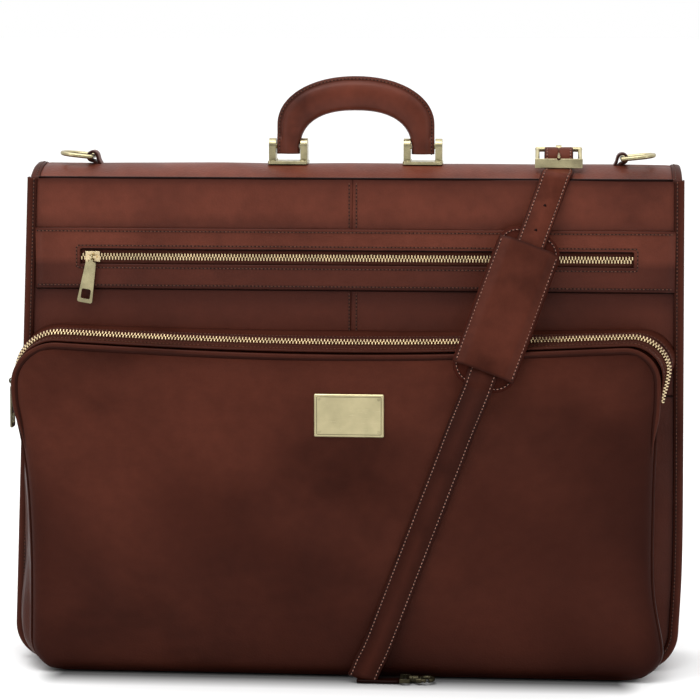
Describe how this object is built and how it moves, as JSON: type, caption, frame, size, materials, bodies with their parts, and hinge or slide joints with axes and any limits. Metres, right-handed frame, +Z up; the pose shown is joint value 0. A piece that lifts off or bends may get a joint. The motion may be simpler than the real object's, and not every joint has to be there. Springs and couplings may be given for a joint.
{
  "type": "garment bag",
  "caption": "Folded leather garment bag with a large zipped front pocket, zipped upper pocket, arched top handle, ring tabs and a buckled shoulder strap with a sliding pad.",
  "frame": {"origin": "on the ground, under the middle of the object's bounding box", "axes": "+X along the bag's width to the right seen from its front, +Y towards its rear, +Z up"},
  "size_m": [0.6158, 0.1588, 0.536],
  "materials": {
    "body_leather": "chestnut, waxed, fine pebble grain",
    "pocket_leather": "dark chestnut, pull-up mottling",
    "gusset_leather": "dark chestnut",
    "binding_leather": "dark brown, smooth",
    "handle_leather": "chestnut, burnished",
    "strap_leather": "chestnut, edge stitched",
    "pad_backing_leather": "dark suede side",
    "stiffener": "black board",
    "padding": "felt",
    "lining_cloth": "woven cotton, brown",
    "zip_cloth": "herringbone tape, dark brown",
    "garment_webbing": "ribbed webbing",
    "zip_brass": "bright brass",
    "antique_brass": "brushed antique brass",
    "dark_bronze": "dark bronze",
    "steel": "brushed"
  },
  "bodies": {
    "front_half": {"front_panel_left": "body_leather", "front_panel_right": "body_leather", "zip_band": "body_leather", "front_board": "stiffener", "front_gusset": "gusset_leather", "front_binding": "binding_leather", "front_lining": "lining_cloth", "upper_zip_tape": "zip_cloth", "upper_zip_chain": "zip_brass", "upper_pocket_bag": "lining_cloth", "pocket_gusset": "pocket_leather", "pocket_front": "pocket_leather", "pocket_piping": "binding_leather", "pocket_zip_tape": "zip_cloth", "pocket_zip_chain": "zip_brass", "nameplate": "antique_brass", "plate_rivets": "antique_brass", "inner_zip_tape": "zip_cloth", "inner_zip_chain": "zip_brass", "strap_front": "strap_leather", "front_swivel": "antique_brass"},
    "upper_slider": {"upper_slider": "zip_brass"},
    "upper_pull": {"upper_pull": "antique_brass"},
    "pocket_slider": {"pocket_slider": "dark_bronze"},
    "pocket_pull": {"pocket_pull": "dark_bronze"},
    "inner_slider": {"inner_slider": "zip_brass"},
    "inner_pull": {"inner_pull": "antique_brass"},
    "shoulder_pad": {"pad_sleeve": "strap_leather", "pad_backing": "pad_backing_leather"},
    "front_hook": {"front_hook": "antique_brass"},
    "front_trigger": {"front_trigger": "antique_brass"},
    "spine": {"spine_cover": "body_leather", "spine_padding": "padding", "spine_lining": "lining_cloth", "handle_brackets": "antique_brass", "bracket_rivets": "antique_brass", "handle_pins": "steel", "ring_tabs": "handle_leather", "strap_top": "strap_leather", "buckle_frame": "antique_brass", "buckle_loop": "strap_leather"},
    "buckle_prong": {"buckle_prong": "antique_brass"},
    "handle": {"grip_cover": "handle_leather", "grip_core": "stiffener", "grip_ferrules": "steel"},
    "left_ring": {"left_ring": "antique_brass"},
    "right_ring": {"right_ring": "antique_brass"},
    "rear_half": {"rear_panel_left": "body_leather", "rear_panel_right": "body_leather", "rear_board": "stiffener", "rear_gusset": "gusset_leather", "rear_binding": "binding_leather", "rear_lining": "lining_cloth", "garment_straps": "garment_webbing", "hanger_clamp": "steel", "strap_tail": "strap_leather", "tail_swivel": "antique_brass"},
    "clamp_bar": {"clamp_bar": "steel"},
    "tail_hook": {"tail_hook": "antique_brass"},
    "tail_trigger": {"tail_trigger": "antique_brass"}
  },
  "joints": [
    {"name": "fold_front", "type": "hinge", "parent": "front_half", "child": "spine", "pos_m": [0, -0.0094, 0.446], "axis": [1, 0, 0], "range_deg": [0, 90]},
    {"name": "fold_rear", "type": "hinge", "parent": "spine", "child": "rear_half", "pos_m": [0, 0.0666, 0.446], "axis": [1, 0, 0], "range_deg": [0, 90]},
    {"name": "handle_swing", "type": "hinge", "parent": "spine", "child": "handle", "pos_m": [0, 0.0286, 0.473], "axis": [1, 0, 0], "range_deg": [-78, 78]},
    {"name": "left_ring_swing", "type": "hinge", "parent": "spine", "child": "left_ring", "pos_m": [-0.24, 0.0286, 0.4629], "axis": [0, 1, 0], "range_deg": [-5, 150]},
    {"name": "right_ring_swing", "type": "hinge", "parent": "spine", "child": "right_ring", "pos_m": [0.24, 0.0286, 0.4629], "axis": [0, -1, 0], "range_deg": [-5, 150]},
    {"name": "buckle_prong_swing", "type": "hinge", "parent": "spine", "child": "buckle_prong", "pos_m": [0.183, 0.0246, 0.471], "axis": [-1, 0, 0], "range_deg": [0, 110]},
    {"name": "upper_zip_slide", "type": "slide", "parent": "front_half", "child": "upper_slider", "axis": [1, 0, 0], "range_m": [0, 0.472]},
    {"name": "upper_pull_swing", "type": "hinge", "parent": "upper_slider", "child": "upper_pull", "pos_m": [-0.235, -0.01615, 0.375], "axis": [-1, 0, 0], "range_deg": [0, 150]},
    {"name": "pocket_zip_slide", "type": "slide", "parent": "front_half", "child": "pocket_slider", "axis": [0, 0, 1], "range_m": [0, 0.012]},
    {"name": "pocket_pull_swing", "type": "hinge", "parent": "pocket_slider", "child": "pocket_pull", "pos_m": [-0.30655, -0.0324, 0.264], "axis": [0, 1, 0], "range_deg": [0, 120]},
    {"name": "inner_zip_slide", "type": "slide", "parent": "front_half", "child": "inner_slider", "axis": [1, 0, 0], "range_m": [0, 0.384]},
    {"name": "inner_pull_swing", "type": "hinge", "parent": "inner_slider", "child": "inner_pull", "pos_m": [-0.192, 0.0271, 0.33], "axis": [0, 1, 0], "range_deg": [-80, 80]},
    {"name": "pad_slide", "type": "slide", "parent": "front_half", "child": "shoulder_pad", "axis": [0.3271, 0.3341, 0.884], "range_m": [0, 0.03]},
    {"name": "front_hook_swivel", "type": "hinge", "parent": "front_half", "child": "front_hook", "pos_m": [0.0574, -0.0659, 0.004], "axis": [1, 0, 0], "continuous": true},
    {"name": "front_gate_slide", "type": "slide", "parent": "front_hook", "child": "front_trigger", "axis": [-1, 0, 0], "range_m": [0, 0.002], "stiffness_N_per_m": 300, "springref_m": -0.002},
    {"name": "tail_hook_swivel", "type": "hinge", "parent": "rear_half", "child": "tail_hook", "pos_m": [0.1963, 0.0756, 0.146], "axis": [0.03, 0, -0.9996], "continuous": true},
    {"name": "tail_gate_slide", "type": "slide", "parent": "tail_hook", "child": "tail_trigger", "axis": [-0.03, 0, 0.9996], "range_m": [0, 0.002], "stiffness_N_per_m": 300, "springref_m": -0.002},
    {"name": "clamp_bar_slide", "type": "slide", "parent": "rear_half", "child": "clamp_bar", "axis": [1, 0, 0], "range_m": [0, 0.014]}
  ],
  "couplings": [
    {"joint": "fold_rear", "follows": "fold_front", "ratio": 1}
  ]
}
